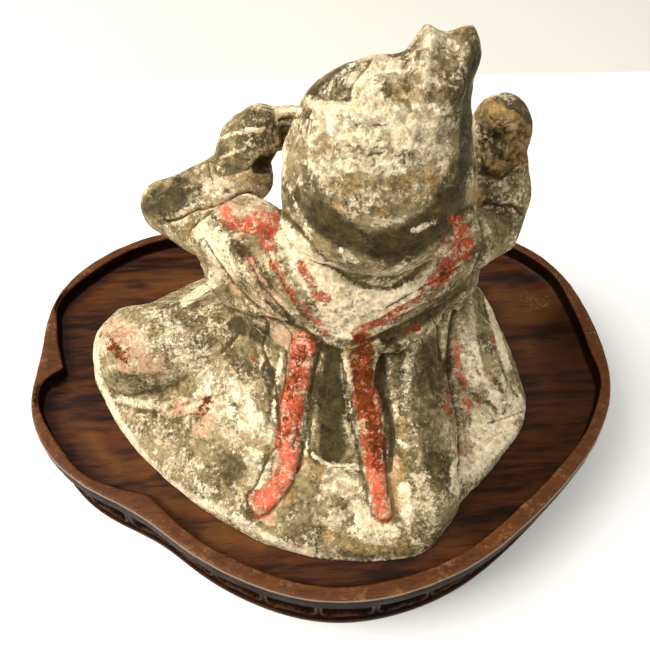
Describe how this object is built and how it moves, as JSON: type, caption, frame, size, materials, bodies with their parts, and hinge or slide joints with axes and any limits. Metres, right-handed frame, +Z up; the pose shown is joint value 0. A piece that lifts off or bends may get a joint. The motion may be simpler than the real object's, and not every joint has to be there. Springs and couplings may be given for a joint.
{
  "type": "terracotta musician figure",
  "caption": "Seated clay musician with raised arms, spread robe and tall broken hair, resting on a lobed dark hardwood tray stand.",
  "frame": {"origin": "on the ground, under the middle of the stand's outline", "axes": "+Z up, +X along the stand towards the musician's left, and the musician faces -Y"},
  "size_m": [0.2644, 0.2106, 0.1934],
  "materials": {
    "fired_clay": "unglazed grey-brown clay with worn white slip, red pigment and earth",
    "dark_hardwood": "oiled dark hardwood, satin, worn paler along the rim"
  },
  "bodies": {
    "root": {"musician_figure": "fired_clay", "hardwood_stand": "dark_hardwood"}
  },
  "joints": []
}
